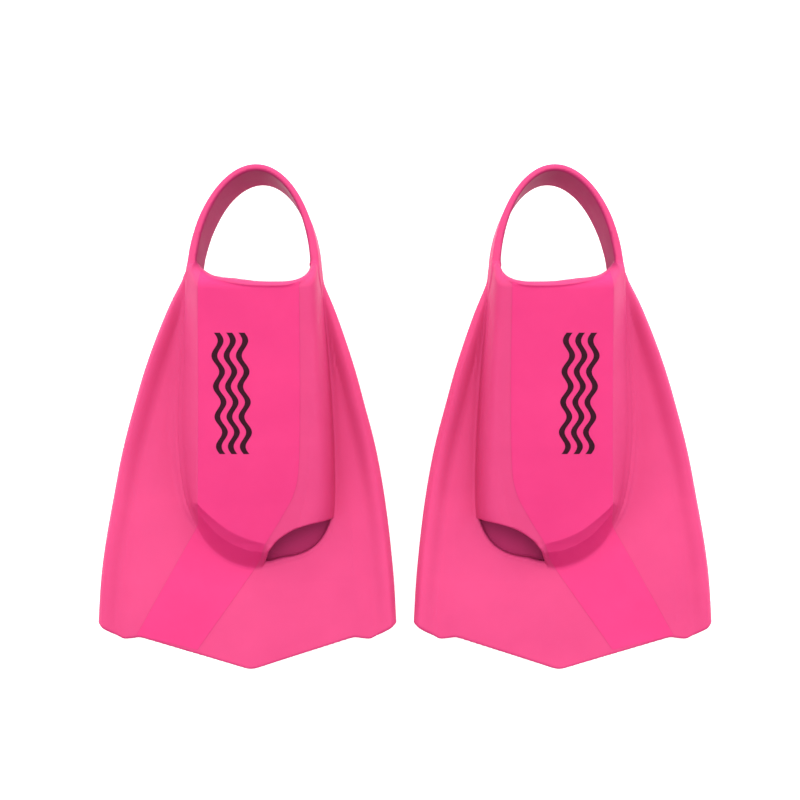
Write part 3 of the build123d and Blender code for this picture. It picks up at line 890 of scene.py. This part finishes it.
class FINS_OT_bands(bpy.types.Operator):
    """Build the deeper pink band over each instep, toe slope and blade"""
    bl_idname = "fins.bands"
    bl_label = "Bands"

    def execute(self, context):
        form, colours = fin_form(), context.scene.fin_colours
        material = made("deep_pink", silicone, "deep_pink_silicone", tuple(colours.band),
                        colours.roughness - 0.06)
        u = with_narrow_ends(60, 0.008)
        toe_line = between(POCKET_OUTER, 38.5, 12.2)
        toe_line[0] = (-36.6, 38.5)
        toe_line[-1] = (6.6, 11.9)
        instep = patch(plan_line(PANEL_REAR), plan_line(PANEL_FRONT), between(PANEL_OUTER, 216, 60.7),
                       between(PANEL_INNER, 207.8, 32), u, with_narrow_ends(130, 0.003)[:-1])
        slope = patch(plan_line(PANEL_FRONT), toe_line, between(BAND_OUTER, 60.7, 38.5),
                      between(BAND_INNER, 32, 11.9), u, np.linspace(0, 1, 24, endpoint=False))
        blade = patch(toe_line, [(-78.7, -36.5), (-35.1, -47)], between(BAND_OUTER, 38.5, -36.5),
                      between(BAND_INNER, 11.9, -47), u, with_narrow_ends(70, 0.006)[1:])
        places = np.vstack([instep, slope, blade])
        for side in SIDES:
            piece = overlay(f"{side}_band", form, places, context.scene.fin_shape.inlay, 0.35, side, material)
            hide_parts(*[f"{side}_{node}" for node in BAND_NODES])
            bend_with_blade(piece, side)
        return {"FINISHED"}


class FINS_OT_prints(bpy.types.Operator):
    """Build the printed wavy stripes on each instep"""
    bl_idname = "fins.prints"
    bl_label = "Prints"

    def execute(self, context):
        form, colours = fin_form(), context.scene.fin_colours
        material = made("ink", printed_ink, "printed_ink", tuple(colours.ink))
        low, high = (corner * 1000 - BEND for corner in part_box("right_print"))
        stroke, swing, count, waves = 4.0, 2.3, 3, 4
        pitch = (high.x - low.x - stroke - 2 * swing) / (count - 1)
        along = with_narrow_ends(120, 0.002)
        y = high.y - (high.y - low.y) * along[:, None]
        bend = swing * np.sin(along[:, None] * waves * 2 * np.pi)
        across = with_narrow_ends(5, 0.03)[None, :] - 0.5
        lift = context.scene.fin_shape.inlay + 0.14
        for side in SIDES:
            stripes = []
            for i in range(count):
                x = low.x + swing + stroke / 2 + i * pitch + bend + stroke * across
                places = np.stack([x, y + 0 * x], -1)
                stripes.append(overlay(f"{side}_stripe_{i + 1}", form, places, lift, 0.0, side, material))
            for stripe in stripes:
                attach(stripe, f"{side}_pocket")
            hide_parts(f"{side}_print")
        return {"FINISHED"}


class FINS_PT_sidebar(bpy.types.Panel):
    """Buttons that build the fins' pieces"""
    bl_idname = "FINS_PT_sidebar"
    bl_label = "Swim Fins"
    bl_space_type = "VIEW_3D"
    bl_region_type = "UI"
    bl_category = "Swim Fins"

    def draw(self, context):
        for operator in OPERATORS:
            self.layout.operator(operator.bl_idname)


def shine(tree, background, strength):
    """Surrounding light that is weaker from the blades' end."""
    direction = tree.nodes.new("ShaderNodeTexCoord").outputs["Generated"]
    parts = tree.nodes.new("ShaderNodeSeparateXYZ")
    tree.links.new(direction, parts.inputs["Vector"])
    level = tree.nodes.new("ShaderNodeMapRange")
    tree.links.new(parts.outputs["Y"], level.inputs["Value"])
    level.inputs["From Min"].default_value = -0.9
    level.inputs["From Max"].default_value = 0.5
    level.inputs["To Min"].default_value = strength * 0.2
    level.inputs["To Max"].default_value = strength
    tree.links.new(level.outputs["Result"], background.inputs["Strength"])


class FINS_OT_studio(bpy.types.Operator):
    """Build the floor, the lights and the camera"""
    bl_idname = "fins.studio"
    bl_label = "Studio"

    def execute(self, context):
        look = context.scene.studio_look
        work = bmesh.new()
        bmesh.ops.create_grid(work, x_segments=8, y_segments=8, size=6.0)
        mesh = bpy.data.meshes.new("studio_floor")
        work.to_mesh(mesh)
        work.free()
        floor = new_object("studio_floor", mesh, floor_paint("floor_paint", tuple(look.floor), look.glow))
        floor.location.z = -0.0005

        world = bpy.data.worlds.new("studio_world")
        context.scene.world = world
        world.use_nodes = True
        background = world.node_tree.nodes["Background"]
        background.inputs["Color"].default_value = (1, 1, 1, 1)
        shine(world.node_tree, background, look.fill)
        for name, place, size, power in (
            ("key", (0.0, 0.7, 1.4), 0.9, look.key),
            ("top", (0.0, 0.1, 1.8), 1.6, look.key),
        ):
            light = bpy.data.lights.new(name, "AREA")
            light.size = size
            light.energy = power
            lamp = bpy.data.objects.new(name, light)
            context.scene.collection.objects.link(lamp)
            lamp.location = place
            lamp.rotation_euler = (Vector((0, 0, 0)) - Vector(place)).to_track_quat("-Z", "Y").to_euler()

        camera = bpy.data.cameras.new("camera")
        camera.lens = look.lens
        camera.sensor_width = 36.0
        eye = bpy.data.objects.new("camera", camera)
        context.scene.collection.objects.link(eye)
        eye.location = (-0.0036, 0.0192, look.camera_height)
        eye.rotation_euler = (0, 0, 0)
        context.scene.camera = eye
        context.scene.view_settings.view_transform = "Standard"
        return {"FINISHED"}


OPERATORS = (FINS_OT_moulding, FINS_OT_heel_straps, FINS_OT_bands, FINS_OT_prints, FINS_OT_studio)
CLASSES = (FinShape, FinColours, StudioLook, *OPERATORS, FINS_PT_sidebar)


def register():
    for cls in CLASSES:
        bpy.utils.register_class(cls)
    bpy.types.Scene.fin_shape = bpy.props.PointerProperty(type=FinShape)
    bpy.types.Scene.fin_colours = bpy.props.PointerProperty(type=FinColours)
    bpy.types.Scene.studio_look = bpy.props.PointerProperty(type=StudioLook)


def unregister():
    for name in ("fin_shape", "fin_colours", "studio_look"):
        delattr(bpy.types.Scene, name)
    for cls in reversed(CLASSES):
        bpy.utils.unregister_class(cls)


def main():
    register()
    bpy.ops.fins.moulding()
    bpy.ops.fins.heel_straps()
    bpy.ops.fins.bands()
    bpy.ops.fins.prints()
    bpy.ops.fins.studio()


if __name__ == "__main__":
    main()
